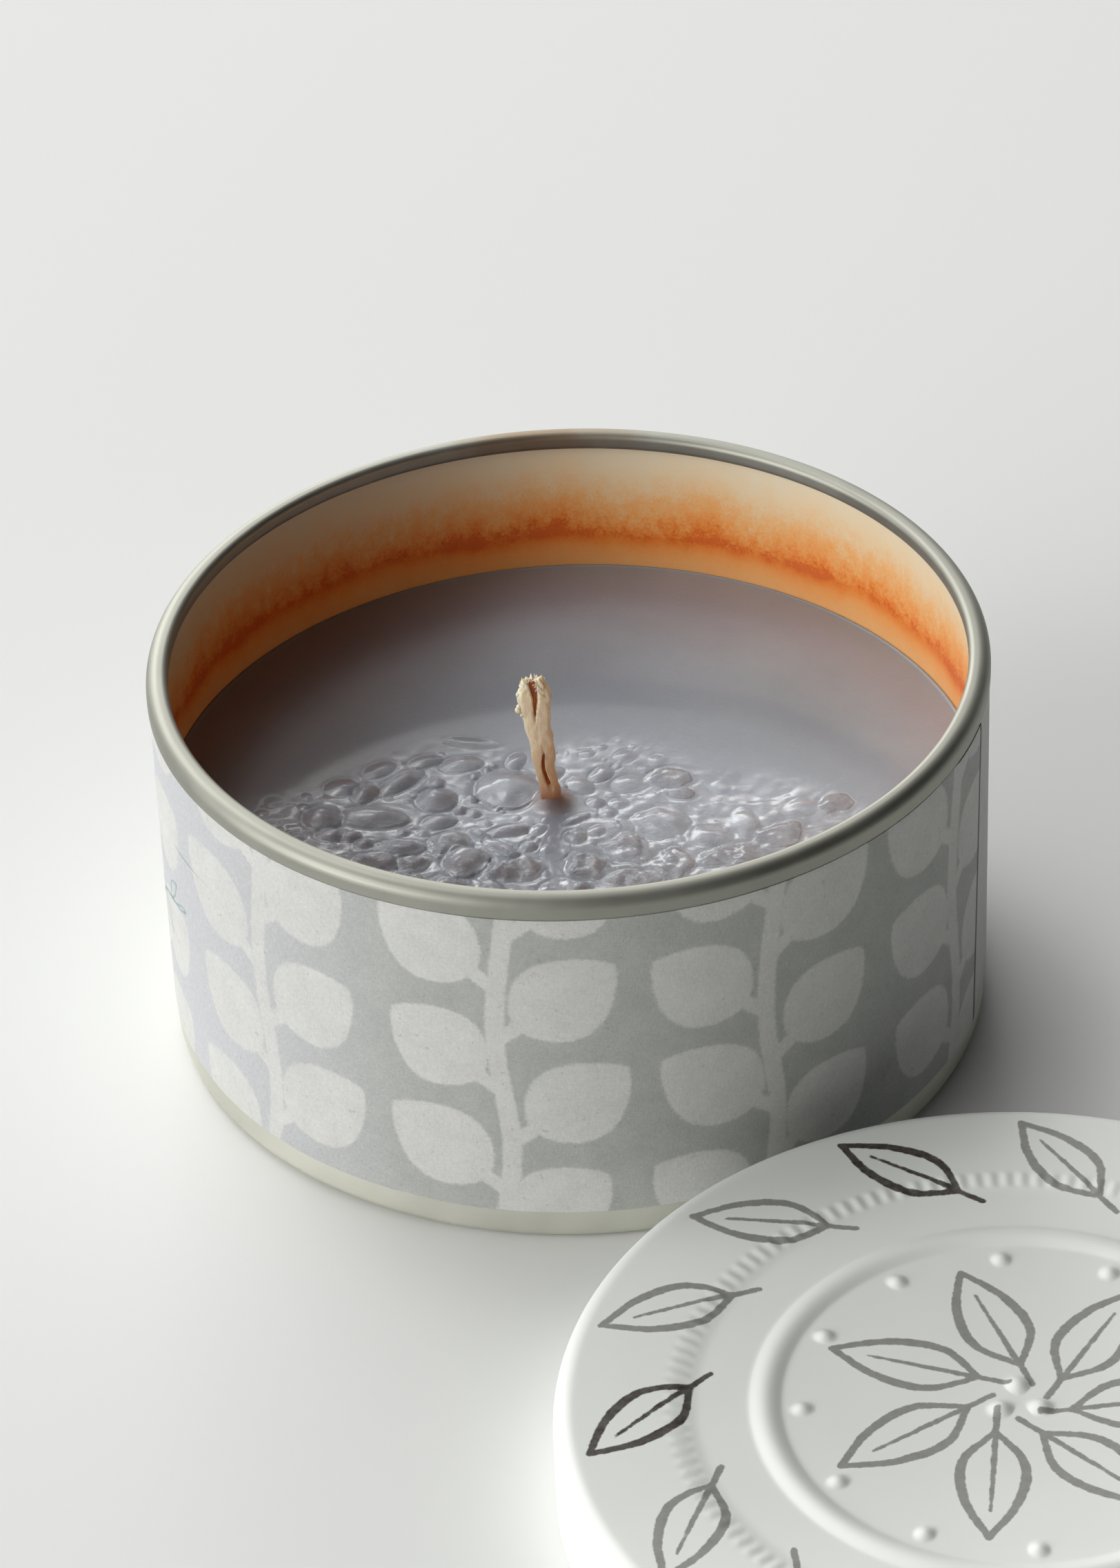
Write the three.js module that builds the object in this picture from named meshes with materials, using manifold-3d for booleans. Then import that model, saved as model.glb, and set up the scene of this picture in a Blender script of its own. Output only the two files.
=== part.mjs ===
// A round tin candle, burned part of the way down, with its slip lid lying beside it.
// Millimetres, +Z up. The origin is the centre of the face that the tin stands on.
import * as THREE from 'three';
import { mergeVertices } from 'three/addons/utils/BufferGeometryUtils.js';
import Module from 'manifold-3d';

const wasm = await Module();
wasm.setup();

// Driving dimensions of the tin
const RIM_RADIUS = 40;            // outside of the rolled rim, an 80 mm tin
const TIN_HEIGHT = 39.6;
const SHEET = 0.25;               // tinplate thickness
const WALL_RADIUS = { base: 39.6, rim: 39.7 };   // outside of the drawn wall, slightly tapered
const CORNER_RADIUS = 1.0;        // outside of the bottom corner
const RIM_WIDTH = 2.1;            // the roll, measured inwards from its outside
const RIM_DROP = 2.25;            // from the top of the roll down to its lower outside edge
const RIM_ROUND = 0.925;          // outside rounding of the roll's top edges
const BEAD_RADIUS = 28.8;         // stiffening bead pressed up into the base
const BEAD_RISE = 0.6;
const BEAD_FLAT = 1.0;            // half the bead's flat top
const BEAD_SLOPE = 0.8;           // run of each of its sides

// Driving dimensions of what the tin carries
const FIT_GAP = 0.05;             // between faces that lie against each other
const STICKER = { radius: 24, thickness: 0.15 };
const LABEL = { thickness: 0.15, bottom: 3.5, top: 37.1, seamAzimuth: 73, seamWidth: 0.2 };
const WAX_LEVEL = 23.1;
const WICK = { x: -2.1, y: -1.8, top: 37.9, halfWidth: 1.1, halfThickness: 0.7, lean: -1.65 };
const CORE = { halfWidth: 0.4, halfThickness: 0.25, clearance: 0.1 };
const PAD = { radius: 10, thickness: 0.5 };
const SUSTAINER = { radius: 10, thickness: 0.25, neckRadius: 1.9, neckBore: 1.6, neckHeight: 5.7 };
const CAVITY_GAP = 0.2;           // between the wax and what is set in it

// Driving dimensions of the lid, which lies top side up on the same surface as the tin
const LID_CENTRE = { x: 36.62, y: -74.76 };
const LID_RADIUS = 40.8;
const LID_HEIGHT = 9.63;          // to the outer ring of the top
const LID_SHOULDER = 1.8;
const LID_STEP = { inner: 27.9, outer: 30.9, drop: 0.35 };
const LID_BEAD = { radius: 22.2, halfWidth: 1.6, rise: 0.6 };
const LID_HEM = { radius: 0.225, height: 1.2 };

// Round parts share one set of azimuths, so faces that lie against each other stay parallel.
const SEGMENTS = 60;
const START_ANGLE = THREE.MathUtils.degToRad(LABEL.seamAzimuth);
const SMALL_SEGMENTS = 24;

const HALF_SHEET = SHEET / 2;
const BASE_UNDERSIDE = STICKER.thickness + FIT_GAP;
const WALL_TOP = TIN_HEIGHT - RIM_DROP - 0.15;

// The wall's outside radius at a height
function wallRadius(height) {
  return WALL_RADIUS.base + ((WALL_RADIUS.rim - WALL_RADIUS.base) * height) / WALL_TOP;
}

// ---- Profiles, as lists of [radius, height] ----

// Points of an arc, both ends included, with angles in degrees from +radius towards +height.
function arc(radiusCentre, heightCentre, radius, from, to, steps) {
  const points = [];
  for (let i = 0; i <= steps; i++) {
    const angle = THREE.MathUtils.degToRad(from + ((to - from) * i) / steps);
    points.push([radiusCentre + radius * Math.cos(angle), heightCentre + radius * Math.sin(angle)]);
  }
  return points;
}

// The path moved sideways by a distance, to the left of its direction, with mitred corners.
function offsetPath(path, distance) {
  const normals = path.slice(1).map(([r, z], i) => {
    const [dr, dz] = [r - path[i][0], z - path[i][1]];
    const length = Math.hypot(dr, dz);
    return [-dz / length, dr / length];
  });
  return path.map(([r, z], i) => {
    const before = normals[Math.max(i - 1, 0)];
    const after = normals[Math.min(i, normals.length - 1)];
    const share = distance / (1 + before[0] * after[0] + before[1] * after[1]);
    return [r + (before[0] + after[0]) * share, z + (before[1] + after[1]) * share];
  });
}

// The closed outline of sheet metal whose middle follows the path.
function sheetOutline(path) {
  return [...offsetPath(path, -HALF_SHEET), ...offsetPath(path, HALF_SHEET).reverse()];
}

// The middle of the base and of the wall up to a height, from the axis outwards.
function tinMiddle(wallTop) {
  const floor = BASE_UNDERSIDE + HALF_SHEET;
  const corner = CORNER_RADIUS - HALF_SHEET;
  const wall = WALL_RADIUS.base - HALF_SHEET;
  return [
    [0, floor],
    [BEAD_RADIUS - BEAD_FLAT - BEAD_SLOPE, floor],
    [BEAD_RADIUS - BEAD_FLAT, floor + BEAD_RISE],
    [BEAD_RADIUS + BEAD_FLAT, floor + BEAD_RISE],
    [BEAD_RADIUS + BEAD_FLAT + BEAD_SLOPE, floor],
    ...arc(wall - corner, floor + corner, corner, -90, 0, 3),
    [wallRadius(wallTop) - HALF_SHEET, wallTop],
  ];
}

// The rim: the wall flares out, goes over the top and is rolled in, down and back towards the wall.
function rimMiddle() {
  const outer = RIM_RADIUS - HALF_SHEET;
  const inner = RIM_RADIUS - RIM_WIDTH + HALF_SHEET;
  const top = TIN_HEIGHT - HALF_SHEET;
  const round = RIM_ROUND - HALF_SHEET;
  const tuck = top - RIM_DROP + 0.6;
  return [
    [outer, TIN_HEIGHT - RIM_DROP + 0.25],
    ...arc(outer - round, top - round, round, 0, 90, 3),
    ...arc(inner + round, top - round, round, 90, 180, 3),
    ...arc(inner + 0.6, tuck + 0.6, 0.6, 180, 270, 2),
    [inner + 1.0, tuck],
  ];
}

// The lid: a panel with a raised bead, a step up to the outer ring, a round shoulder,
// a skirt, and a hem turned in at its lower edge.
function lidMiddle() {
  const ring = LID_HEIGHT - HALF_SHEET;
  const panel = ring - LID_STEP.drop;
  const skirt = LID_RADIUS - HALF_SHEET;
  const shoulder = LID_SHOULDER - HALF_SHEET;
  const hem = LID_HEM.radius;
  const { radius, halfWidth, rise } = LID_BEAD;
  return [
    [0, panel],
    [radius - halfWidth, panel],
    [radius - halfWidth / 2, panel + rise * 0.8],
    [radius, panel + rise],
    [radius + halfWidth / 2, panel + rise * 0.8],
    [radius + halfWidth, panel],
    [LID_STEP.inner, panel],
    [LID_STEP.outer, ring],
    ...arc(skirt - shoulder, ring - shoulder, shoulder, 90, 0, 4),
    ...arc(skirt - hem, HALF_SHEET + hem, hem, 0, -180, 4),
    [skirt - 2 * hem, LID_HEM.height],
  ];
}

// ---- Solids ----

// The volume inside a mesh, negative where its faces point inwards.
function signedVolume(geometry) {
  const position = geometry.getAttribute('position');
  const corner = [new THREE.Vector3(), new THREE.Vector3(), new THREE.Vector3()];
  let volume = 0;
  for (let i = 0; i < geometry.index.count; i += 3) {
    corner.forEach((point, k) => point.fromBufferAttribute(position, geometry.index.getX(i + k)));
    volume += corner[0].dot(corner[1].cross(corner[2])) / 6;
  }
  return volume;
}

// One closed mesh with shared vertices, no flat triangles, and its faces pointing out.
function closed(geometry) {
  geometry.deleteAttribute('normal');
  geometry.deleteAttribute('uv');
  const merged = mergeVertices(geometry, 1e-4);
  const index = [];
  for (let i = 0; i < merged.index.count; i += 3) {
    const [a, b, c] = [0, 1, 2].map((k) => merged.index.getX(i + k));
    if (a !== b && b !== c && c !== a) index.push(a, b, c);
  }
  merged.setIndex(index);
  if (signedVolume(merged) < 0) merged.setIndex(index.reverse());
  return merged;
}

// A profile turned about +Z. Azimuths count from -Y towards +X.
function turned(profile, segments = SEGMENTS) {
  const points = profile.map(([r, z]) => new THREE.Vector2(Math.max(r, 0), z));
  const geometry = new THREE.LatheGeometry(points, segments, START_ANGLE);
  return closed(geometry.rotateX(Math.PI / 2));
}

function disc(radius, bottom, top, segments = SEGMENTS) {
  return turned([[0, bottom], [radius, bottom], [radius, top], [0, top]], segments);
}

function toManifold(geometry) {
  return new wasm.Manifold(new wasm.Mesh({
    numProp: 3,
    vertProperties: new Float32Array(geometry.getAttribute('position').array),
    triVerts: new Uint32Array(geometry.index.array),
  }));
}

function fromManifold(solid) {
  const mesh = solid.getMesh();
  const geometry = new THREE.BufferGeometry();
  geometry.setAttribute('position', new THREE.BufferAttribute(mesh.vertProperties, 3));
  geometry.setIndex(new THREE.BufferAttribute(mesh.triVerts, 1));
  return geometry;
}

// The paper band, wrapped once round the wall, with a hairline seam where its ends meet.
function labelSolid() {
  const { thickness, bottom, top, seamWidth } = LABEL;
  const inner = (height) => wallRadius(height) + FIT_GAP;
  const band = turned([
    [inner(bottom), bottom],
    [inner(bottom) + thickness, bottom],
    [inner(top) + thickness, top],
    [inner(top), top],
    [inner(bottom), bottom],
  ]);
  const slit = new THREE.BoxGeometry(seamWidth, 2, TIN_HEIGHT);
  slit.translate(0, -RIM_RADIUS, TIN_HEIGHT / 2).rotateZ(START_ANGLE);
  return fromManifold(toManifold(band).subtract(toManifold(closed(slit))));
}

// Heights of the pieces stacked on the tin's base under the wick
const padBottom = BASE_UNDERSIDE + SHEET + FIT_GAP;
const padTop = padBottom + PAD.thickness;
const sustainerBottom = padTop + FIT_GAP;
const sustainerTop = sustainerBottom + SUSTAINER.thickness;
const neckTop = sustainerTop + SUSTAINER.neckHeight;

function sustainerSolid() {
  const { radius, neckRadius, neckBore } = SUSTAINER;
  return turned([
    [neckBore, sustainerBottom],
    [radius, sustainerBottom],
    [radius, sustainerTop],
    [neckRadius + 0.4, sustainerTop],
    [neckRadius, sustainerTop + 0.4],
    [neckRadius, neckTop],
    [neckBore, neckTop],
    [neckBore, sustainerBottom],
  ], SMALL_SEGMENTS);
}

// Upright in the wax, then leaning over as it leaves it
function wickPath() {
  const free = WICK.top - WAX_LEVEL;
  return new THREE.CatmullRomCurve3([
    new THREE.Vector3(0, 0, sustainerBottom),
    new THREE.Vector3(0, 0, WAX_LEVEL / 2),
    new THREE.Vector3(0, 0, WAX_LEVEL),
    new THREE.Vector3(WICK.lean * 0.4, 0, WAX_LEVEL + free / 2),
    new THREE.Vector3(WICK.lean, 0, WICK.top),
  ]);
}

function ellipse(shape, halfWidth, halfThickness) {
  return shape.absellipse(0, 0, halfThickness, halfWidth, 0, 2 * Math.PI, false, 0);
}

function alongWick(section, sides) {
  const options = { steps: 14, curveSegments: sides / 2, bevelEnabled: false, extrudePath: wickPath() };
  return closed(new THREE.ExtrudeGeometry(section, options));
}

function braidSolid() {
  const section = ellipse(new THREE.Shape(), WICK.halfWidth, WICK.halfThickness);
  const bore = new THREE.Path();
  ellipse(bore, CORE.halfWidth + CORE.clearance, CORE.halfThickness + CORE.clearance);
  section.holes.push(bore);
  return alongWick(section, 12);
}

function coreSolid() {
  return alongWick(ellipse(new THREE.Shape(), CORE.halfWidth, CORE.halfThickness), 8);
}

// The wax fills the tin to its level and leaves room for the wick, the sustainer and its pad.
function waxSolid() {
  const against = offsetPath(tinMiddle(WAX_LEVEL), HALF_SHEET + FIT_GAP);
  const fill = turned([...against, [0, WAX_LEVEL]]);
  const room = turned([
    [0, -1],
    [SUSTAINER.radius + CAVITY_GAP, -1],
    [SUSTAINER.radius + CAVITY_GAP, sustainerTop + CAVITY_GAP],
    [SUSTAINER.neckRadius + 0.4 + CAVITY_GAP, sustainerTop + CAVITY_GAP],
    [SUSTAINER.neckRadius + CAVITY_GAP, sustainerTop + 0.4 + CAVITY_GAP],
    [SUSTAINER.neckRadius + CAVITY_GAP, neckTop + CAVITY_GAP],
    [WICK.halfWidth + CAVITY_GAP, neckTop + CAVITY_GAP + 0.8],
    [WICK.halfWidth + CAVITY_GAP, WAX_LEVEL + 1],
    [0, WAX_LEVEL + 1],
  ], SMALL_SEGMENTS).translate(WICK.x, WICK.y, 0);
  return fromManifold(toManifold(fill).subtract(toManifold(room)));
}

// ---- Assembly ----

function piece(name, geometry, color, roughness, metalness) {
  const material = new THREE.MeshStandardMaterial({ color, roughness, metalness });
  const mesh = new THREE.Mesh(geometry, material);
  mesh.name = name;
  return mesh;
}

const tin = new THREE.Group();
tin.add(
  piece('tin_body', turned(sheetOutline([...tinMiddle(WALL_TOP), ...rimMiddle()])),
    0xb4b5a8, 0.35, 1),
  piece('wrap_label', labelSolid(), 0xcbccc8, 0.75, 0),
  piece('base_sticker', disc(STICKER.radius, 0, STICKER.thickness), 0xf2f2ee, 0.7, 0),
  piece('wax_fill', waxSolid(), 0x8b8791, 0.3, 0),
);

const wick = new THREE.Group();
wick.position.set(WICK.x, WICK.y, 0);
wick.add(
  piece('sustainer_pad', disc(PAD.radius, padBottom, padTop, SMALL_SEGMENTS), 0xe8e6df, 0.9, 0),
  piece('wick_sustainer', sustainerSolid(), 0xb9bbbd, 0.35, 1),
  piece('wick_braid', braidSolid(), 0xe2cda2, 0.8, 0),
  piece('wick_core', coreSolid(), 0x7a4321, 0.85, 0),
);

const lid = new THREE.Group();
lid.position.set(LID_CENTRE.x, LID_CENTRE.y, 0);
lid.add(piece('lid_shell', turned(sheetOutline(lidMiddle())), 0xe9ebe7, 0.4, 0));

const candle = new THREE.Group();
candle.add(tin, wick, lid);

export default candle;
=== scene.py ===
"""A part-burned tin candle and its slip lid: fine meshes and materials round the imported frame.

Lengths are in millimetres until a mesh is made, then in metres. Azimuths count from -Y towards +X.
"""

import math

import bpy
import numpy as np
from mathutils import Matrix, Vector


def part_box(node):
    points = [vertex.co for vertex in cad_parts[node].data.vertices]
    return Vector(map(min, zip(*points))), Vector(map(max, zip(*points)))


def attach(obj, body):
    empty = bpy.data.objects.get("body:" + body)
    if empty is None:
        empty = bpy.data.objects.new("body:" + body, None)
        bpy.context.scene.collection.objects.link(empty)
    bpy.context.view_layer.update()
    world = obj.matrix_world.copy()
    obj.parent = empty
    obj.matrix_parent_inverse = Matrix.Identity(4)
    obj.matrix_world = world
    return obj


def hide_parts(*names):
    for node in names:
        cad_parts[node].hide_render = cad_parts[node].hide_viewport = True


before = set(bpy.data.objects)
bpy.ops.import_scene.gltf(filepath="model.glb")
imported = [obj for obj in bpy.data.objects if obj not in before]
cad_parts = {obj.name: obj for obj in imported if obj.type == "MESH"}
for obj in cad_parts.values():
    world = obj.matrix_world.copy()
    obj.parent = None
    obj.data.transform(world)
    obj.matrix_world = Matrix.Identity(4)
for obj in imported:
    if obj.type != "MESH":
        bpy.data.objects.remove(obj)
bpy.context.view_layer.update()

MM = 0.001
TURN = 2 * math.pi


def box_mm(node):
    """The lowest and highest corner of a CAD node, in millimetres."""
    return tuple(np.array(corner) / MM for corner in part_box(node))


# ---------------------------------------------------------------- sizes

tin_low, tin_high = box_mm("tin_body")
label_low, label_high = box_mm("wrap_label")
wax_high = box_mm("wax_fill")[1]
wick_low = box_mm("wick_braid")[0]
pad_low, pad_high = box_mm("sustainer_pad")
steel_low, steel_high = box_mm("wick_sustainer")
sticker_low, sticker_high = box_mm("base_sticker")
lid_low, lid_high = box_mm("lid_shell")

SHEET = 0.25
HALF_SHEET = SHEET / 2
RIM_RADIUS = round((tin_high[0] - tin_low[0]) / 2, 1)
TIN_HEIGHT = round(tin_high[2], 1)
RIM_WIDTH = 2.1
RIM_DROP = 2.25
RIM_ROUND_OUT, RIM_ROUND_IN = 1.2, 0.6
WALL_BASE, WALL_RIM = 39.6, 39.7
WALL_TOP = TIN_HEIGHT - RIM_DROP - 0.15
CORNER_RADIUS = 1.0
BEAD_RADIUS, BEAD_RISE, BEAD_FLAT, BEAD_SLOPE = 28.8, 0.6, 1.0, 0.8
FLOOR_MIDDLE = tin_low[2] + HALF_SHEET

LABEL_BOTTOM, LABEL_TOP = label_low[2], label_high[2]
PAPER = 0.15
SEAM = 73.3                       # azimuth of the top of the label's seam
SEAM_SLANT = 0.07                 # and how many degrees it leans for each millimetre of height
SEAM_LAP = 0.12                   # how far the overlapping end stands out
PLAIN_STRIP = 9.0                 # unprinted width beyond the seam

WAX_LEVEL = wax_high[2]
FIT_GAP = 0.05

# How finely each piece is divided
TIN_COLUMNS, STICKER_COLUMNS, SUSTAINER_COLUMNS = 360, 180, 96
LABEL_STEPS, LABEL_ROWS = 1280, 128
WAX_COLUMNS, WAX_STEP = 1080, 0.19
BRAID_RINGS, BRAID_SIDES = 260, 72
CORE_RINGS, CORE_SIDES = 200, 24
FIBRE_POINTS, FIBRE_SIDES = 9, 7

WICK_FOOT = np.array([(pad_low[0] + pad_high[0]) / 2, (pad_low[1] + pad_high[1]) / 2])

LID_CENTRE = np.array([(lid_low[0] + lid_high[0]) / 2, (lid_low[1] + lid_high[1]) / 2])
LID_RADIUS = round((lid_high[0] - lid_low[0]) / 2, 1)
LID_RING = 9.63                   # height of the outer ring of the top
LID_SHOULDER = 1.8
LID_STEP_IN, LID_STEP_OUT, LID_DROP = 27.9, 30.9, 0.35
LID_BEAD, LID_BEAD_HALF, LID_BEAD_RISE = 22.2, 1.5, 0.45
LID_HEM, LID_HEM_HEIGHT = 0.225, 1.2
FLUTES = 134


# ---------------------------------------------------------------- profiles

def arc(centre_r, centre_z, radius, start, end, steps):
    """Points of an arc, with angles in degrees from outwards to up."""
    angles = np.radians(np.linspace(start, end, steps + 1))
    return np.column_stack([centre_r + radius * np.cos(angles), centre_z + radius * np.sin(angles)])


def joined(*parts):
    """One path from several, without repeated points."""
    path = np.vstack([np.atleast_2d(np.array(part, float)) for part in parts])
    far = np.linalg.norm(np.diff(path, axis=0), axis=1) > 1e-6
    return path[np.concatenate([[True], far])]


def offset_path(path, distance):
    """The path moved sideways, to the left of its direction, with mitred corners."""
    step = np.diff(path, axis=0)
    normal = np.column_stack([-step[:, 1], step[:, 0]]) / np.linalg.norm(step, axis=1)[:, None]
    before, after = np.vstack([normal[:1], normal]), np.vstack([normal, normal[-1:]])
    share = distance / (1 + (before * after).sum(1))
    return path + (before + after) * share[:, None]


def finer(path, longest):
    """The path with points added so that no step is longer than that."""
    points = [path[:1]]
    for a, b in zip(path[:-1], path[1:]):
        count = max(1, math.ceil(np.linalg.norm(b - a) / longest))
        points.append(a + (b - a) * (np.arange(1, count + 1) / count)[:, None])
    return np.vstack(points)


def wall_radius(height):
    return WALL_BASE + (WALL_RIM - WALL_BASE) * height / WALL_TOP


def rounded(corners, radius, steps=4):
    """The path with its inner corners rounded off by quadratic curves."""
    corners = [np.array(c, float) for c in corners]
    parts = [corners[0]]
    for a, b, c in zip(corners[:-2], corners[1:-1], corners[2:]):
        cut = min(radius, np.linalg.norm(b - a) / 2, np.linalg.norm(c - b) / 2)
        p = b + (a - b) / np.linalg.norm(a - b) * cut
        q = b + (c - b) / np.linalg.norm(c - b) * cut
        t = np.linspace(0, 1, steps + 1)[:, None]
        parts.append((1 - t) ** 2 * p + 2 * t * (1 - t) * b + t ** 2 * q)
    return joined(*parts, corners[-1])


def tin_middle(wall_top):
    """The middle of the sheet from the axis, over the base's bead, round the corner and up the wall."""
    floor, wall = FLOOR_MIDDLE, WALL_BASE - HALF_SHEET
    corner = CORNER_RADIUS - HALF_SHEET
    base = rounded([
        [0, floor],
        [BEAD_RADIUS - BEAD_FLAT - BEAD_SLOPE, floor],
        [BEAD_RADIUS - BEAD_FLAT, floor + BEAD_RISE],
        [BEAD_RADIUS + BEAD_FLAT, floor + BEAD_RISE],
        [BEAD_RADIUS + BEAD_FLAT + BEAD_SLOPE, floor],
        [wall - corner, floor],
    ], 0.5)
    return joined(base, arc(wall - corner, floor + corner, corner, -90, 0, 8),
                  [wall_radius(wall_top) - HALF_SHEET, wall_top])


def rim_middle():
    """The middle of the sheet where the rim flares out, goes over the top and is rolled in and down."""
    outer, inner = RIM_RADIUS - HALF_SHEET, RIM_RADIUS - RIM_WIDTH + HALF_SHEET
    top = TIN_HEIGHT - HALF_SHEET
    wide, tight = RIM_ROUND_OUT - HALF_SHEET, RIM_ROUND_IN - HALF_SHEET
    tuck = top - RIM_DROP + 0.6
    return joined(
        [outer, TIN_HEIGHT - RIM_DROP + 0.25],
        arc(outer - wide, top - wide, wide, 0, 90, 14),
        arc(inner + tight, top - tight, tight, 90, 180, 10),
        arc(inner + 0.6, tuck + 0.6, 0.6, 180, 270, 8),
        [inner + 1.0, tuck],
    )


def lid_middle():
    """The middle of the lid's sheet, from the axis outwards and down to the turned-in hem."""
    ring, skirt = LID_RING - HALF_SHEET, LID_RADIUS - HALF_SHEET
    panel, shoulder = ring - LID_DROP, LID_SHOULDER - HALF_SHEET
    top = [[0, panel], [LID_BEAD - LID_BEAD_HALF, panel]]
    across = np.linspace(-1, 1, 17)[1:-1, None]
    bead = np.hstack([LID_BEAD + LID_BEAD_HALF * across,
                      panel + LID_BEAD_RISE * (1 - across ** 2) ** 1.5])
    step = np.linspace(0, 1, 13)[:, None]
    slope = np.hstack([LID_STEP_IN + (LID_STEP_OUT - LID_STEP_IN) * step,
                       panel + LID_DROP * step ** 2 * (3 - 2 * step)])
    return joined(
        top, bead, [LID_BEAD + LID_BEAD_HALF, panel], slope,
        arc(skirt - shoulder, ring - shoulder, shoulder, 90, 0, 12),
        arc(skirt - LID_HEM, HALF_SHEET + LID_HEM, LID_HEM, 0, -180, 10),
        [skirt - 2 * LID_HEM, LID_HEM_HEIGHT],
    )


# ---------------------------------------------------------------- meshes

def turned(profile, columns, centre=(0, 0)):
    """Rings of points, one for each profile point, turned about an upright axis through centre."""
    azimuth = np.arange(columns) * TURN / columns
    radius, height = profile[:, :1], profile[:, 1:]
    return np.stack([centre[0] + radius * np.sin(azimuth), centre[1] - radius * np.cos(azimuth),
                     np.repeat(height, columns, axis=1)], axis=-1)


def loft(name, rings, materials, loop=False, row_slots=None, values=None, sharp=35):
    """A closed mesh over rings of points. A ring whose points coincide becomes one vertex. With loop,
    the last ring joins the first. values gives named numbers for each point."""
    rows, columns = rings.shape[:2]
    poles = np.ptp(rings, axis=1).max(axis=1) < 1e-6
    counts = np.where(poles, 1, columns)
    starts = np.concatenate([[0], np.cumsum(counts)[:-1]])
    index = starts[:, None] + np.where(poles[:, None], 0, np.arange(columns)[None])
    kept = np.ones((rows, columns), bool)
    kept[poles, 1:] = False
    vertices = rings[kept]
    corners, sizes, slots = [], [], []
    for i in range(rows if loop else rows - 1):
        j = (i + 1) % rows
        a, b = index[i], index[j]
        ring = [a, np.roll(a, -1), np.roll(b, -1), b]
        if poles[i]:
            ring = [a, np.roll(b, -1), b]
        elif poles[j]:
            ring = [a, np.roll(a, -1), b]
        corners.append(np.stack(ring, axis=1).ravel())
        sizes.append(np.full(columns, len(ring)))
        slots.append(np.full(columns, row_slots[i] if row_slots is not None else 0))
    corners, sizes, slots = map(np.concatenate, (corners, sizes, slots))
    starts = np.concatenate([[0], np.cumsum(sizes)[:-1]])
    mesh = bpy.data.meshes.new(name)
    mesh.vertices.add(len(vertices))
    mesh.vertices.foreach_set("co", (vertices * MM).astype(np.float32).ravel())
    mesh.loops.add(len(corners))
    mesh.loops.foreach_set("vertex_index", corners.astype(np.int32))
    mesh.polygons.add(len(sizes))
    mesh.polygons.foreach_set("loop_start", starts.astype(np.int32))
    mesh.polygons.foreach_set("material_index", slots.astype(np.int32))
    mesh.update(calc_edges=True)
    for key, grid in (values or {}).items():
        layer = mesh.attributes.new(key, "FLOAT", "POINT")
        layer.data.foreach_set("value", grid[kept].astype(np.float32))
    if inside_out(vertices, corners, starts):
        mesh.flip_normals()
    mesh.shade_smooth()
    mesh.set_sharp_from_angle(angle=math.radians(sharp))
    for material in materials:
        mesh.materials.append(material)
    piece = bpy.data.objects.new(name, mesh)
    bpy.context.scene.collection.objects.link(piece)
    return piece


def pole(ring):
    """A ring of the same length whose points all lie in the middle of that ring."""
    return np.repeat(ring.mean(axis=0)[None], len(ring), axis=0)[None]


def inside_out(vertices, corners, starts):
    """True if the faces' normals point into the mesh, from the sign of its volume."""
    fan = [vertices[corners[starts + k]] for k in range(3)]
    return np.einsum("ij,ij->i", fan[0], np.cross(fan[1], fan[2])).sum() < 0


def smoothstep(low, high, value):
    t = np.clip((value - low) / (high - low), 0, 1)
    return t * t * (3 - 2 * t)


def spline(points, count):
    """Count points along a smooth curve through the points given."""
    p = np.array(points, float)
    p = np.vstack([2 * p[0] - p[1], p, 2 * p[-1] - p[-2]])
    t = np.linspace(0, len(p) - 3 - 1e-9, count)
    k, f = t.astype(int), (t % 1)[:, None]
    a, b, c, d = p[k], p[k + 1], p[k + 2], p[k + 3]
    return 0.5 * (2 * b + (c - a) * f + (2 * a - 5 * b + 4 * c - d) * f ** 2
                  + (3 * b - a - 3 * c + d) * f ** 3)


def value_noise(x, y, cell, rng):
    """Smooth noise from -1 to 1 over a plane, its lattice cell mm wide."""
    size = 97
    lattice = rng.uniform(-1, 1, (size, size))
    u, v = x / cell, y / cell
    i, j = np.floor(u).astype(int), np.floor(v).astype(int)
    fu, fv = u - i, v - j
    fu, fv = fu * fu * (3 - 2 * fu), fv * fv * (3 - 2 * fv)
    at = lambda a, b: lattice[a % size, b % size]
    return ((at(i, j) * (1 - fu) + at(i + 1, j) * fu) * (1 - fv)
            + (at(i, j + 1) * (1 - fu) + at(i + 1, j + 1) * fu) * fv)


# ---------------------------------------------------------------- drawn patterns

FAR = 3.0                         # distances in a pattern are kept up to this many millimetres


def polygon_distance(points, polygon):
    """Distance of each point to a polygon's edge, negative inside."""
    near = np.full(len(points), np.inf)
    inside = np.zeros(len(points), bool)
    for a, b in zip(polygon, np.roll(polygon, -1, axis=0)):
        edge, rel = b - a, points - a
        t = np.clip(rel @ edge / max(edge @ edge, 1e-12), 0, 1)
        near = np.minimum(near, np.linalg.norm(rel - t[:, None] * edge, axis=1))
        crosses = (a[1] > points[:, 1]) != (b[1] > points[:, 1])
        if abs(edge[1]) > 1e-12:
            inside ^= crosses & (points[:, 0] < a[0] + edge[0] * (points[:, 1] - a[1]) / edge[1])
    return np.where(inside, -near, near)


def stroke_distance(points, path, half_widths):
    """Distance of each point to the edge of a stroke along the path, negative inside."""
    near = np.full(len(points), np.inf)
    for a, b, wa, wb in zip(path[:-1], path[1:], half_widths[:-1], half_widths[1:]):
        edge, rel = b - a, points - a
        t = np.clip(rel @ edge / max(edge @ edge, 1e-12), 0, 1)
        gap = np.linalg.norm(rel - t[:, None] * edge, axis=1) - (wa + (wb - wa) * t)
        near = np.minimum(near, gap)
    return near


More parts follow.
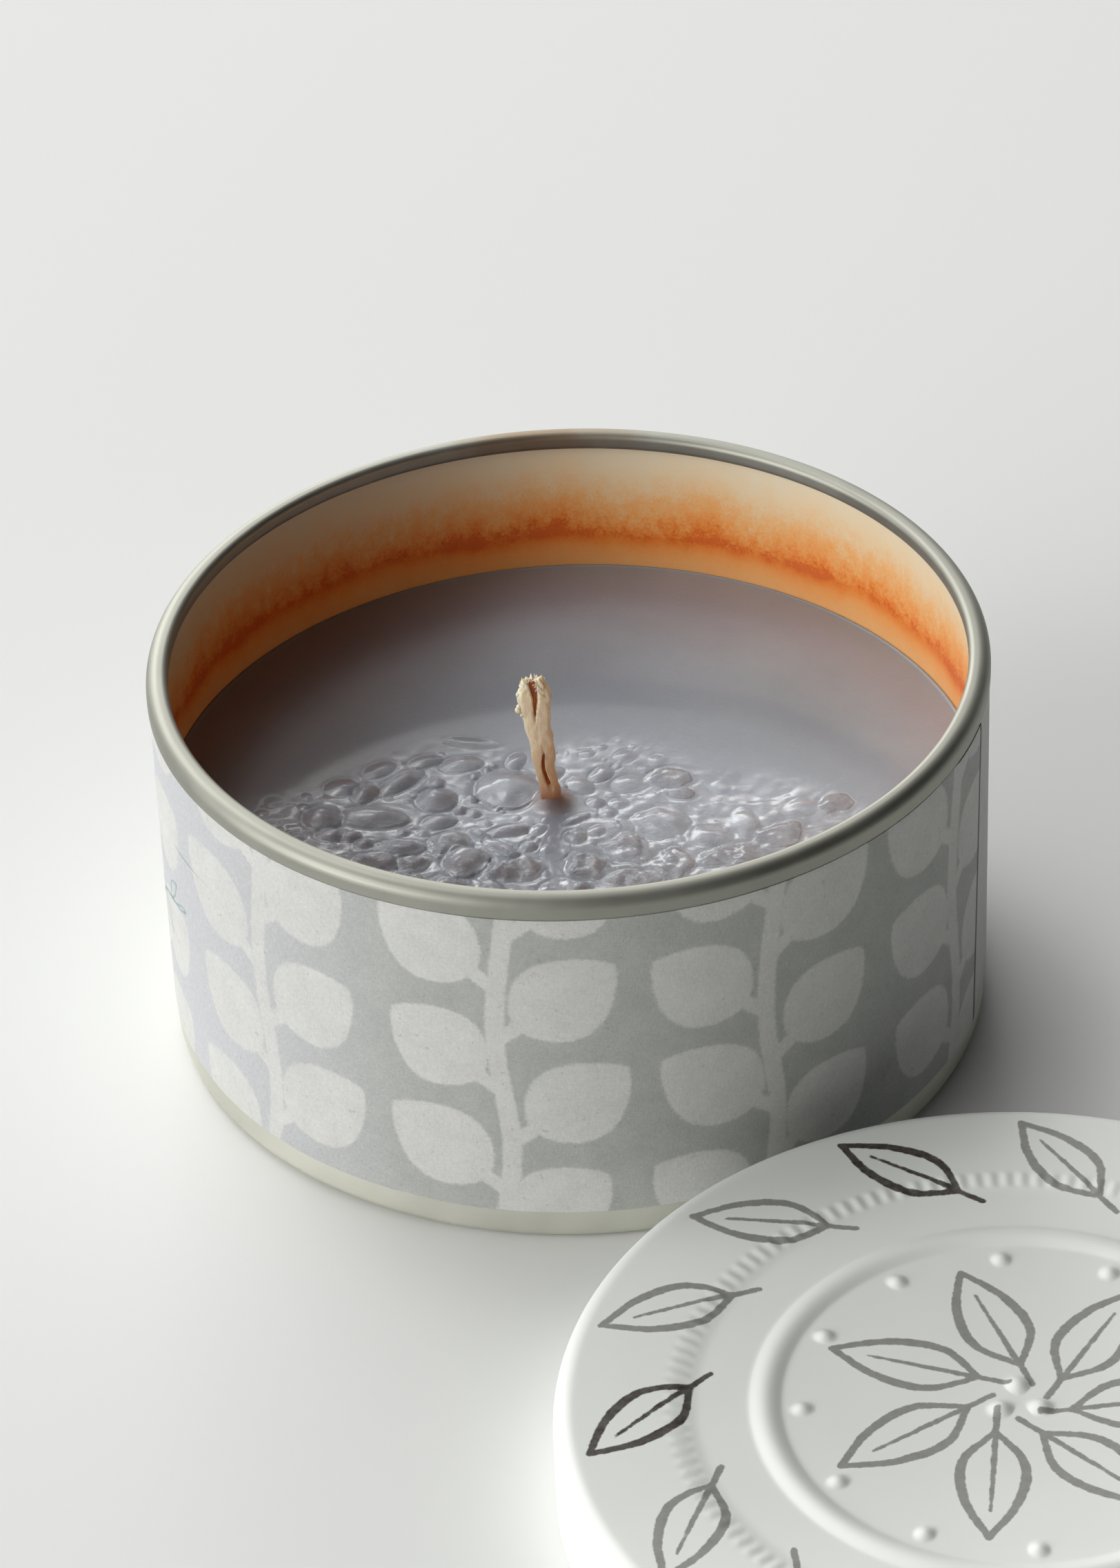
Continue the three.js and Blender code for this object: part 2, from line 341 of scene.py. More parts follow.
def draw(field, points, outline, distance, reach=FAR):
    """Joins one shape into the field of distances, looking only at the points near its outline."""
    low, high = outline.min(axis=0) - reach, outline.max(axis=0) + reach
    near = ((points >= low) & (points <= high)).all(axis=1)
    field[near] = np.minimum(field[near], distance(points[near]))


# ---------------------------------------------------------------- shader helpers

class Nodes:
    """A material's node tree. Each method adds a node and returns the socket it gives."""

    def __init__(self, name):
        self.material = bpy.data.materials.new(name)
        self.material.use_nodes = True
        self.tree = self.material.node_tree
        self.shader = self.tree.nodes["Principled BSDF"]

    def put(self, socket, value):
        if isinstance(value, bpy.types.NodeSocket):
            self.tree.links.new(value, socket)
        else:
            socket.default_value = value

    def add(self, kind, inputs, output=0, **settings):
        node = self.tree.nodes.new(kind)
        for key, value in settings.items():
            setattr(node, key, value)
        for key, value in inputs.items():
            self.put(node.inputs[key], value)
        return node.outputs[output]

    def math(self, operation, a, b=0.0, c=0.0, clamp=False):
        return self.add("ShaderNodeMath", {0: a, 1: b, 2: c}, operation=operation, use_clamp=clamp)

    def place(self):
        """Object coordinates in millimetres."""
        spot = self.add("ShaderNodeTexCoord", {}, "Object")
        return self.add("ShaderNodeVectorMath", {0: spot, "Scale": 1 / MM}, operation="SCALE")

    def scaled(self, vector, by):
        return self.add("ShaderNodeVectorMath", {0: vector, 1: by}, operation="MULTIPLY")

    def split(self, vector):
        node = self.tree.nodes.new("ShaderNodeSeparateXYZ")
        self.tree.links.new(vector, node.inputs[0])
        return node.outputs

    def noise(self, vector, scale, detail=2.0, roughness=0.5, distortion=0.0):
        return self.add("ShaderNodeTexNoise", {"Vector": vector, "Scale": scale, "Detail": detail,
                                               "Roughness": roughness, "Distortion": distortion}, "Fac")

    def remap(self, value, low, high, to_low=0.0, to_high=1.0, smooth=False):
        return self.add("ShaderNodeMapRange", {"Value": value, "From Min": low, "From Max": high,
                                               "To Min": to_low, "To Max": to_high},
                        interpolation_type="SMOOTHSTEP" if smooth else "LINEAR")

    def mix(self, factor, a, b, blend="MIX"):
        """A blend of two colours."""
        node = self.tree.nodes.new("ShaderNodeMix")
        node.data_type, node.blend_type = "RGBA", blend
        for slot, value in ((0, factor), (6, a), (7, b)):
            self.put(node.inputs[slot], value)
        return node.outputs[2]

    def ramp(self, value, stops, interpolation="LINEAR"):
        node = self.tree.nodes.new("ShaderNodeValToRGB")
        node.color_ramp.interpolation = interpolation
        while len(node.color_ramp.elements) < len(stops):
            node.color_ramp.elements.new(0.5)
        for element, (position, colour) in zip(node.color_ramp.elements, stops):
            element.position, element.color = position, colour
        self.put(node.inputs[0], value)
        return node.outputs[0]

    def bump(self, height, distance_mm, strength=1.0):
        inputs = {"Height": height, "Distance": distance_mm * MM, "Strength": strength}
        return self.add("ShaderNodeBump", inputs)

    def stored(self, key):
        """A number stored on the mesh's points under that name."""
        return self.add("ShaderNodeAttribute", {}, "Fac", attribute_name=key)

    def finish(self, **inputs):
        for key, value in inputs.items():
            self.put(self.shader.inputs[key.replace("_", " ")], value)
        return self.material


def grey(value):
    return (value, value, value, 1)


def rgb(red, green, blue):
    """A linear colour from 8-bit sRGB numbers."""
    def linear(v):
        v /= 255
        return v / 12.92 if v <= 0.04045 else ((v + 0.055) / 1.055) ** 2.4
    return (linear(red), linear(green), linear(blue), 1)


# ---------------------------------------------------------------- materials

def tinplate_material():
    """Satin tinplate with a faint champagne tone, fine drawing lines round it and less glossy smudges; from
    20 mm up its tone darkens, painted shade on the rim.
    """
    n = Nodes("tinplate_satin")
    place = n.place()
    lines = n.noise(n.scaled(place, (0.05, 0.05, 6.0)), 1.0, 3, 0.6)
    smudge = n.noise(place, 0.09, 3, 0.55)
    tone = n.mix(n.remap(smudge, 0.35, 0.7, 0, 1, True), rgb(209, 209, 198), rgb(217, 217, 207))
    # A darker copy of the same tinplate, which takes over from 20 mm to 34 mm up: painted shade that keeps
    # the rim darker than the base band.
    shaded_tone = n.mix(n.remap(smudge, 0.35, 0.7, 0, 1, True), rgb(152, 152, 143), rgb(164, 164, 155))
    height = n.split(place)[2]
    tone = n.mix(n.remap(height, 20, 34, 0, 1, True), tone, shaded_tone)
    scorch = n.add("ShaderNodeVectorMath", {0: place, 1: (-2.0, RIM_RADIUS, TIN_HEIGHT)}, "Value",
                   operation="DISTANCE")
    scorch = n.math("ADD", scorch, n.remap(smudge, 0.3, 0.7, -5, 5))
    tone = n.mix(n.remap(scorch, 12, 2, 0, 0.55, True), tone, rgb(136, 104, 66))
    rough = n.math("ADD", n.remap(smudge, 0.3, 0.75, 0.5, 0.6), n.remap(lines, 0.3, 0.7, -0.03, 0.03))
    return n.finish(Base_Color=tone, Metallic=1.0, Roughness=rough, Normal=n.bump(lines, 0.012, 0.5))


def lacquer_material():
    """Cream lacquer inside the tin, with the rust-orange tide line that the wax has left."""
    n = Nodes("lacquer_stained")
    place = n.place()
    height = n.split(place)[2]
    sway = n.noise(n.scaled(place, (1, 1, 0)), 0.06, 3, 0.6)
    line = n.math("ADD", height, n.remap(sway, 0.25, 0.75, 1.0, -1.0))
    streak = n.noise(n.scaled(place, (1, 1, 0.8)), 0.75, 5, 0.68)
    speck = n.noise(place, 3.2, 3, 0.7)
    broad = n.noise(n.scaled(place, (1, 1, 0.15)), 0.16, 2, 0.5)
    tide = n.ramp(n.remap(line, 22, 40), [
        (0.0, grey(0.44)), (0.10, grey(0.48)), (0.19, grey(0.62)), (0.262, grey(1.02)),
        (0.30, grey(0.92)), (0.36, grey(0.72)), (0.46, grey(0.50)), (0.60, grey(0.27)),
        (0.80, grey(0.08)), (1.0, grey(0.0)),
    ], "B_SPLINE")
    above = n.remap(line, 26.2, 28.2, 0, 1, True)
    uneven = n.math("ADD", n.remap(streak, 0.25, 0.75, -0.4, 0.4), n.remap(speck, 0.3, 0.7, -0.26, 0.26))
    uneven = n.math("ADD", uneven, n.remap(broad, 0.3, 0.7, -0.24, 0.24))
    uneven = n.math("MULTIPLY", n.math("MULTIPLY", uneven, tide), n.remap(above, 0, 1, 0.2, 0.8))
    stain = n.math("ADD", tide, uneven, clamp=True)
    tone = n.ramp(stain, [
        (0.0, rgb(232, 226, 204)), (0.2, rgb(238, 214, 174)), (0.4, rgb(244, 190, 126)),
        (0.6, rgb(247, 168, 90)), (0.85, rgb(242, 138, 46)), (1.0, rgb(226, 104, 20)),
    ])
    return n.finish(Base_Color=tone, Roughness=0.42, Coat_Weight=0.25, Coat_Roughness=0.2,
                    Normal=n.bump(speck, 0.03, 0.3))


def paper_material():
    """Label paper printed with off-white leaves on light grey. leaf and sprig are distances to the
    edges of what is printed, and cut is the distance from the overlapping end, in millimetres.
    shade is how green the ground is."""
    n = Nodes("label_paper_print")
    place = n.place()
    leaf = n.stored("leaf")
    sprig = n.stored("sprig")
    shade = n.stored("shade")
    fibre = n.noise(n.scaled(place, (2.2, 2.2, 9.0)), 1.0, 3, 0.6)
    cross = n.noise(n.scaled(place, (9.0, 9.0, 2.2)), 1.0, 3, 0.6)
    weave = n.math("MULTIPLY", n.math("ADD", fibre, cross), 0.5)
    cloud = n.noise(place, 0.35, 3, 0.6)
    fleck = n.noise(place, 2.4, 2, 0.6)
    ground = n.mix(n.remap(cloud, 0.3, 0.7), rgb(160, 162, 159), rgb(170, 171, 167))
    ground = n.mix(n.math("MULTIPLY", shade, 0.6), ground, rgb(148, 166, 150))
    # Painted sheen: the printed ground turns lighter towards the left side.
    ground = n.mix(n.remap(n.split(place)[0], -12, -36, 0, 0.85, True), ground, rgb(186, 187, 191))
    print_tone = n.mix(n.remap(cloud, 0.3, 0.7), rgb(193, 193, 190), rgb(201, 201, 198))
    edge = n.math("ADD", leaf, n.remap(fleck, 0.3, 0.7, -0.09, 0.09))
    tone = n.mix(n.remap(edge, 0.22, -0.22, 0, 1, True), ground, print_tone)
    tone = n.mix(n.remap(sprig, 0.06, -0.06, 0, 0.75, True), tone, rgb(84, 128, 130))
    tone = n.mix(0.16, tone, n.ramp(weave, [(0.36, grey(0.18)), (0.62, grey(0.95))]), "OVERLAY")
    specks = n.remap(n.noise(place, 1.7, 1, 0.4), 0.72, 0.76, 0, 0.25)
    tone = n.mix(specks, tone, rgb(120, 118, 112))
    cut = n.stored("cut")
    strip = 360 * LABEL_REACH - PLAIN_STRIP
    tone = n.mix(n.remap(cut, strip, strip + 0.4, 0, 1, True), tone, print_tone)
    # A dark line along the overlapping end: partly the paper's cut edge, partly painted shadow under that
    # end.
    tone = n.mix(n.remap(cut, 0.72, 0.45, 0, 0.9, True), tone, rgb(40, 38, 34))
    return n.finish(Base_Color=tone, Roughness=0.6, Specular_IOR_Level=0.5,
                    Normal=n.bump(weave, 0.05, 0.55))


def sticker_material():
    n = Nodes("sticker_paper")
    place = n.place()
    fibre = n.noise(place, 3.0, 4, 0.65)
    tone = n.mix(n.remap(fibre, 0.3, 0.7), rgb(226, 225, 220), rgb(240, 239, 235))
    return n.finish(Base_Color=tone, Roughness=0.65, Normal=n.bump(fibre, 0.03, 0.4))


def wax_material():
    """Lavender-grey wax: translucent and glossy, with fine creases on its rough lumps."""
    n = Nodes("wax_lavender")
    place = n.place()
    lumpy = n.stored("lumpy")
    cloud = n.noise(place, 0.06, 3, 0.5)
    mottle = n.noise(place, 0.4, 3, 0.6)
    crease = n.noise(n.scaled(place, (1, 1.7, 1)), 1.7, 5, 0.7, 1.0)
    fine = n.noise(n.scaled(place, (1, 1.5, 1)), 4.6, 4, 0.7, 0.6)
    crease = n.math("ADD", crease, n.math("MULTIPLY", fine, 0.35))
    across = n.math("SUBTRACT", n.split(place)[0], WICK_FOOT[0])
    along = n.math("SUBTRACT", n.split(place)[1], WICK_FOOT[1])
    squares = n.math("ADD", n.math("MULTIPLY", across, across), n.math("MULTIPLY", along, along))
    foot = n.math("SQRT", squares)
    tone = n.mix(n.remap(cloud, 0.35, 0.65), rgb(148, 155, 166), rgb(159, 166, 178))
    # Painted shade and reflection: the wax darkens towards the left, for the shadow of the left wall and the
    # dark wall it reflects.
    tone = n.mix(n.remap(n.split(place)[0], 2, -26, 0, 0.62, True), tone, rgb(104, 93, 90))
    # Painted sheen: the lumps are painted lighter, and brighter mottled patches on them are painted
    # highlights.
    tone = n.mix(n.remap(lumpy, 0, 1, 0, 0.85), tone, rgb(178, 185, 196))
    tone = n.mix(n.math("MULTIPLY", n.remap(mottle, 0.45, 0.75), lumpy), tone, rgb(204, 211, 221))
    # Painted reflection: a darker band runs forward from the wick's foot, where the wick is mirrored in the
    # glossy wax.
    beside = n.math("ABSOLUTE", n.math("SUBTRACT", across, 0.3))
    streak = n.math("MULTIPLY", n.remap(beside, 2.4, 0.9, 0, 0.7, True), n.remap(along, 0, -3, 0, 1, True))
    tone = n.mix(streak, tone, rgb(136, 141, 156))
    tone = n.mix(n.remap(foot, 3.0, 0.9, 0, 0.7, True), tone, rgb(126, 98, 88))
    rough = n.math("ADD", n.remap(lumpy, 0, 1, 0.2, 0.17), n.remap(mottle, 0.3, 0.7, -0.03, 0.04))
    creased = n.math("MULTIPLY", crease, n.remap(lumpy, 0.45, 0.9, 0.08, 1.0))
    return n.finish(Base_Color=tone, Roughness=rough, Subsurface_Weight=0.35, Subsurface_Scale=0.002,
                    Subsurface_Radius=(1.0, 0.8, 1.1), IOR=1.5, Coat_Weight=0.6, Coat_Roughness=0.09,
                    Normal=n.bump(creased, 0.42, 1.0))


def cotton_material():
    """Cotton braid soaked in wax, yellower and darker towards its foot."""
    n = Nodes("wick_cotton_waxed")
    place = n.place()
    height = n.split(place)[2]
    fibre = n.noise(n.scaled(place, (6, 6, 1.2)), 1.0, 4, 0.65)
    cloud = n.noise(place, 0.9, 3, 0.6)
    tone = n.mix(n.remap(fibre, 0.3, 0.7), rgb(244, 228, 190), rgb(252, 246, 226))
    tone = n.mix(n.remap(cloud, 0.5, 0.75, 0, 0.4), tone, rgb(236, 206, 154))
    soaked = n.remap(height, WAX_LEVEL + 9.0, WAX_LEVEL + 3.0, 0, 0.7, True)
    tone = n.mix(soaked, tone, rgb(224, 184, 134))
    dipped = n.remap(height, WAX_LEVEL + 3.2, WAX_LEVEL + 0.8, 0, 0.85, True)
    tone = n.mix(dipped, tone, rgb(176, 118, 90))
    return n.finish(Base_Color=tone, Roughness=0.5, Subsurface_Weight=0.4, Subsurface_Scale=0.0008,
                    Subsurface_Radius=(1.0, 0.6, 0.3), Coat_Weight=0.25, Coat_Roughness=0.3,
                    Normal=n.bump(fibre, 0.1, 0.6))


def core_material():
    n = Nodes("wick_core_brown")
    place = n.place()
    fibre = n.noise(n.scaled(place, (7, 7, 1.0)), 1.0, 4, 0.6)
    tone = n.mix(n.remap(fibre, 0.35, 0.65), rgb(130, 58, 16), rgb(196, 104, 42))
    return n.finish(Base_Color=tone, Roughness=0.45, Coat_Weight=0.3, Coat_Roughness=0.3,
                    Normal=n.bump(fibre, 0.08, 0.6))


def steel_material():
    n = Nodes("sustainer_steel")
    place = n.place()
    grain = n.noise(n.scaled(place, (1, 12, 1)), 0.6, 3, 0.6)
    tone = n.mix(n.remap(grain, 0.3, 0.7), rgb(176, 178, 180), rgb(200, 201, 203))
    return n.finish(Base_Color=tone, Metallic=1.0, Roughness=n.remap(grain, 0.3, 0.7, 0.25, 0.4),
                    Normal=n.bump(grain, 0.01, 0.4))


def foam_material():
    n = Nodes("pad_foam")
    place = n.place()
    cells = n.add("ShaderNodeTexVoronoi", {"Vector": place, "Scale": 4.0}, "Distance")
    tone = n.mix(cells, rgb(222, 219, 208), rgb(238, 236, 228))
    return n.finish(Base_Color=tone, Roughness=0.9, Normal=n.bump(cells, 0.08, 0.6))


def enamel_material():
    """White printed tinplate with a dark ink line drawing. ink is the distance to a stroke's edge."""
    n = Nodes("lid_white_print")
    place = n.place()
    ink = n.stored("ink")
    peel = n.noise(place, 0.8, 3, 0.55)
    cloud = n.noise(place, 0.05, 2, 0.5)
    force = n.stored("strength")
    dry = n.noise(place, 1.1, 4, 0.7)
    white = n.mix(n.remap(cloud, 0.3, 0.7), rgb(231, 234, 230), rgb(238, 240, 236))
    edge = n.math("ADD", ink, n.remap(dry, 0.3, 0.7, -0.08, 0.08))
    strength = n.math("MULTIPLY", n.remap(edge, 0.06, -0.1, 0, 1, True), n.remap(dry, 0.3, 0.72, 1.0, 0.88))
    tone = n.mix(n.math("MULTIPLY", strength, force), white, rgb(44, 33, 24))
    return n.finish(Base_Color=tone, Roughness=n.remap(peel, 0.3, 0.7, 0.45, 0.55),
                    Coat_Weight=0.1, Coat_Roughness=0.35, Normal=n.bump(peel, 0.02, 0.35))


def lid_inside_material():
    n = Nodes("lid_inside_lacquer")
    place = n.place()
    smudge = n.noise(place, 0.12, 3, 0.6)
    tone = n.mix(n.remap(smudge, 0.35, 0.65), rgb(196, 190, 166), rgb(206, 201, 180))
    return n.finish(Base_Color=tone, Metallic=0.6, Roughness=n.remap(smudge, 0.3, 0.7, 0.28, 0.42),
                    Normal=n.bump(smudge, 0.02, 0.3))


# ---------------------------------------------------------------- the tin

def make_tin():
    middle = joined(finer(tin_middle(WALL_TOP), 2.0), rim_middle())
    outside, inside = offset_path(middle, -HALF_SHEET), offset_path(middle, HALF_SHEET)
    outline = np.vstack([outside, inside[::-1]])
    outline[:, 0] = outline[:, 0].clip(0)
    lacquered = [0] * len(outside) + [1] * (len(inside) - 1)
    piece = loft("tin_can", turned(outline, TIN_COLUMNS), [tinplate_material(), lacquer_material()],
                 row_slots=lacquered)
    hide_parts("tin_body")
    return piece


# ---------------------------------------------------------------- the label

LABEL_REACH = 39.8 * math.pi / 180          # millimetres of label to a degree of azimuth
# Plain leaves stand on slanting stems, one after the other to the left and to the right
FIRST_STEM, STEM_GAP, STEM_COUNT = 62.0, 36.5, 10       # azimuths in degrees
STEM_BEND = [(-2.0, -6.0), (0.6, 10.0), (-0.5, 25.0), (1.8, 44.0)]
STEM_HALF, STALK_HALF, STALK = 0.9, 0.75, 2.4
LEAF_GAP, LEAF_LEAN, LEAF_LENGTH, LEAF_WIDTH = 5.9, 52.0, 11.3, 9.2
# A faint green patch in the printed ground: its azimuth and height, and how far it spreads in each
SHADE_PLACE, SHADE_SPREAD = (35, 36.5), (5, 3.2)


def plain_leaf(foot, lean, length, width):
    """Outline of a plain rounded leaf that leans that many degrees to the right of upright."""
    share = np.linspace(0, 1, 22)[:, None]
    half = 0.5 * width * np.sin(math.pi * share ** 0.85).clip(0) ** 0.75
    s, c = math.sin(math.radians(lean)), math.cos(math.radians(lean))
    spine, across = foot + length * share * np.array([s, c]), np.array([c, -s])
    return np.vstack([spine + half * across, (spine - half * across)[::-1]])


def label_print(azimuth, height):
    """Distances to the edges of the printed leaves, and of a small teal sprig with a thin rule, and
    how green the ground is."""
    points = np.column_stack([azimuth.ravel() * LABEL_REACH, height.ravel()])
    leaf = np.full(len(points), FAR)
    for k in range(STEM_COUNT):
        stem = spline(STEM_BEND, 24) + np.array([(FIRST_STEM - STEM_GAP * k) * LABEL_REACH, 0])
        draw(leaf, points, stem, lambda p: stroke_distance(p, stem, np.full(24, STEM_HALF)))
        for i, rung in enumerate(np.arange(stem[0, 1], stem[-1, 1] - 4, LEAF_GAP)):
            lean = LEAF_LEAN * (1 if (i + k) % 2 else -1)
            foot = np.array([np.interp(rung, stem[:, 1], stem[:, 0]), rung])
            end = foot + STALK * np.array([math.sin(math.radians(lean)), math.cos(math.radians(lean))])
            stalk = np.array([foot, end])
            draw(leaf, points, stalk, lambda p: stroke_distance(p, stalk, [STALK_HALF, STALK_HALF]))
            outline = plain_leaf(end, lean, LEAF_LENGTH + 0.6 * math.sin(2.3 * i + k), LEAF_WIDTH)
            draw(leaf, points, outline, lambda p: polygon_distance(p, outline))
    sprig = np.full(len(points), FAR)
    for path, width in sprig_lines():
        draw(sprig, points, path, lambda p: stroke_distance(p, path, np.full(len(path), width)), 1.0)
    off = [(v - middle) / spread for v, middle, spread in zip((azimuth, height), SHADE_PLACE, SHADE_SPREAD)]
    shade = np.exp(-(off[0] ** 2 + off[1] ** 2))
    return leaf.reshape(azimuth.shape), sprig.reshape(azimuth.shape), shade


def sprig_lines():
    """A twig with five small leaves and a thin rule above it, on the left side of the label."""
    at = lambda azimuth, height: np.array([azimuth * LABEL_REACH, height])
    twig = spline([at(-96, 11), at(-88, 14.5), at(-80, 18.6), at(-72.5, 20.4)], 20)
    lines = [(twig, 0.16)]
    for k, share in enumerate((0.2, 0.42, 0.62, 0.82, 1.0)):
        foot = twig[round(share * (len(twig) - 1))]
        side = 1 if k % 2 else -1
        tip = foot + np.array([3.0, 3.4 * side if share < 1 else 0.9])
        for bow in (0.9, -0.6):
            middle = (foot + tip) / 2 + bow * np.array([-side * 0.7, 0.7])
            lines.append((spline([foot, middle, tip], 10), 0.12))
    lines.append((np.array([at(-70.5, 28.2), at(-58.8, 28.4)]), 0.09))
    return lines


def make_label():
    along = np.linspace(-0.05, -359.95, LABEL_STEPS)[:, None]
    level = np.linspace(0, 1, LABEL_ROWS)[None]
    top = LABEL_TOP + 0.16 - 0.14 * smoothstep(-16, 0, along) - 0.16 * along / 360
    height = LABEL_BOTTOM + (top - LABEL_BOTTOM) * level
    azimuth = SEAM + SEAM_SLANT * (height - LABEL_TOP) + along
    lap = SEAM_LAP * smoothstep(-12, -9, along)
    inner = wall_radius(height) + FIT_GAP
    outer = inner + PAPER + lap + 0.012 * np.sin(0.21 * along)
    outer = outer - 0.05 * smoothstep(0.985, 1, np.maximum(level, 1 - level))
    close = lambda grid, ends: np.hstack([grid, ends[:, ::-1][:, [0, -1]]])
    radius, height, azimuth = close(outer, inner), close(height, height), close(azimuth, azimuth)
    angle = np.radians(azimuth)
    rings = np.stack([radius * np.sin(angle), -radius * np.cos(angle), height], axis=-1)
    cut = np.repeat(-along * LABEL_REACH, azimuth.shape[1], axis=1)
    values = {key: np.concatenate([grid[:1], grid, grid[-1:]])
              for key, grid in zip(("leaf", "sprig", "shade", "cut"), (*label_print(azimuth, height), cut))}
    piece = loft("label_wrap", np.concatenate([pole(rings[0]), rings, pole(rings[-1])]), [paper_material()],
                 values=values)
    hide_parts("wrap_label")
    return piece


def make_sticker():
    radius, top = (sticker_high[0] - sticker_low[0]) / 2, sticker_high[2]
    profile = rounded([[0, 0], [radius, 0], [radius, top], [0, top]], 0.05)
    piece = loft("sticker_round", turned(finer(profile, 4), STICKER_COLUMNS), [sticker_material()])
    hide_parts("base_sticker")
    return piece


# ---------------------------------------------------------------- the wax

# The larger lumps: x, y, radius along, radius across, tilt in degrees, height and roughness
LUMPS = [
    (-6.1, 0.9, 2.9, 2.9, 0, 1.1, 0), (-13.1, -0.5, 1.75, 1.7, 0, 1.15, 0),
    (-12.9, -4.1, 1.5, 1.05, 10, 0.7, 0), (-19.3, -3.0, 3.1, 1.55, -8, 1.0, 0),
    (-24.1, -2.7, 1.7, 1.75, 0, 1.0, 0), (-22.3, 2.1, 1.5, 1.25, 10, 0.8, 0),
    (-20.0, 1.0, 1.0, 1.5, -20, 0.8, 0), (-23.0, -5.5, 1.6, 0.95, 0, 0.7, 0),
    (-10.6, 5.1, 1.8, 1.2, 5, 0.6, 0), (-16.5, 2.7, 2.4, 1.05, 42, 0.75, 0),
    (-18.7, 4.8, 1.6, 1.0, 35, 0.5, 0), (-14.2, 5.9, 1.5, 0.9, 20, 0.45, 0),
    (-9.6, 8.7, 2.4, 0.8, -14, 0.4, 0), (-10.9, -2.4, 0.7, 0.65, 0, 0.5, 0),
    (-12.0, -7.8, 1.8, 1.6, 0, 0.85, 0.4), (-16.6, -8.1, 2.0, 1.1, -12, 0.8, 0.5),
    (-18.7, -10.3, 2.0, 1.1, -18, 0.9, 0.6), (-15.3, -10.9, 1.4, 1.2, 0, 0.8, 0.7),
    (-21.4, -5.9, 1.0, 0.7, 20, 0.5, 0.3), (-20.2, -7.2, 0.9, 0.8, 0, 0.5, 0.3),
    (-6.2, -6.1, 2.0, 0.8, 12, 0.65, 0.2), (-9.1, -6.6, 1.2, 0.6, -50, 0.5, 0),
    (-7.0, -8.8, 1.9, 0.65, -42, 0.6, 0), (-4.4, -8.8, 0.75, 0.7, 0, 0.5, 0),
    (0.0, -7.5, 1.0, 0.95, 0, 0.65, 0), (2.2, -2.1, 0.8, 0.75, 0, 0.5, 0),
    (3.3, -3.7, 0.8, 0.75, 0, 0.5, 0), (4.4, -2.3, 0.85, 0.8, 0, 0.5, 0),
    (0.3, -4.6, 1.6, 0.5, 32, 0.4, 0), (5.6, 0.8, 1.6, 1.2, 0, 0.7, 0),
    (9.6, 1.2, 2.2, 1.6, 20, 0.7, 0.7), (10.2, -1.3, 1.6, 1.1, -10, 0.6, 0.7),
    (8.3, -5.7, 2.6, 2.2, 0, 1.15, 0.5), (13.1, -8.3, 1.6, 1.35, 0, 0.85, 0.3),
    (16.4, -6.4, 1.1, 2.2, 12, 0.7, 0.3), (18.8, 0.0, 2.3, 2.1, 0, 0.45, 0),
    (25.2, -4.0, 2.3, 1.7, 15, 0.7, 0.8), (15.0, -11.6, 3.0, 1.9, 20, 1.0, 1),
    (19.4, -8.8, 2.8, 2.0, 25, 0.7, 1), (0.7, -12.2, 2.3, 1.6, 0, 1.0, 1),
    (4.9, -9.4, 2.2, 2.0, -40, 0.9, 0.8), (9.2, -12.4, 2.4, 2.0, 0, 0.95, 1),
    (-6.1, -12.4, 2.6, 1.7, 0, 1.0, 1), (-10.4, -10.7, 2.1, 1.8, -30, 1.0, 0.5),
    (5.0, -14.6, 2.8, 1.4, 8, 0.9, 1), (-1.0, -15.6, 2.4, 1.3, 0, 0.8, 1),
    (-12.2, -14.6, 2.4, 1.5, 15, 0.9, 0.9), (21.6, -4.4, 1.6, 1.2, 30, 0.5, 0.3),
]
MOUND = (1.5, 1.2)                # radius and height of the wax that has crept up the wick


def blistered_share(x, y):
    """How far the wax is blistered, from 0 at the smooth back to 1 in the front."""
    edge = 6.6 - 0.0125 * x ** 2 - 0.13 * x + 1.4 * np.sin(x * 0.33)        # y where they end
    return smoothstep(0, 1, (edge + 3.0 - y) / 6.0)


def scattered_lumps(rng):
    """Small lumps between the larger ones, and more of the large sort close to the front wall."""
    taken = [(x, y, 0.5 * (a + b)) for x, y, a, b, *_ in LUMPS] + [(WICK_FOOT[0], WICK_FOOT[1], 1.9)]
    found = []
    for size_low, size_high, tries in ((1.3, 2.5, 500), (0.5, 1.2, 900), (0.25, 0.5, 1600)):
        for _ in range(tries):
            x, y = rng.uniform(-37, 37), rng.uniform(-37, 11)
            size, stretch, tilt = rng.uniform(size_low, size_high), rng.uniform(1.0, 1.6), rng.uniform(0, 180)
            front = smoothstep(-7, -13, y)
            share = blistered_share(np.array(x), np.array(y)) * (1 - 0.6 * smoothstep(4, 20, x))
            if size > 1.3 and front < 0.9 or rng.uniform() > share or math.hypot(x, y) > 37.6 - size:
                continue
            if any(math.hypot(x - tx, y - ty) < 1.08 * (size + tr) for tx, ty, tr in taken):
                continue
            taken.append((x, y, size))
            found.append((x, y, size * stretch ** 0.5, size / stretch ** 0.5, tilt,
                          size * rng.uniform(0.34, 0.55) * (0.5 + 0.5 * share), float(front)))
    return found


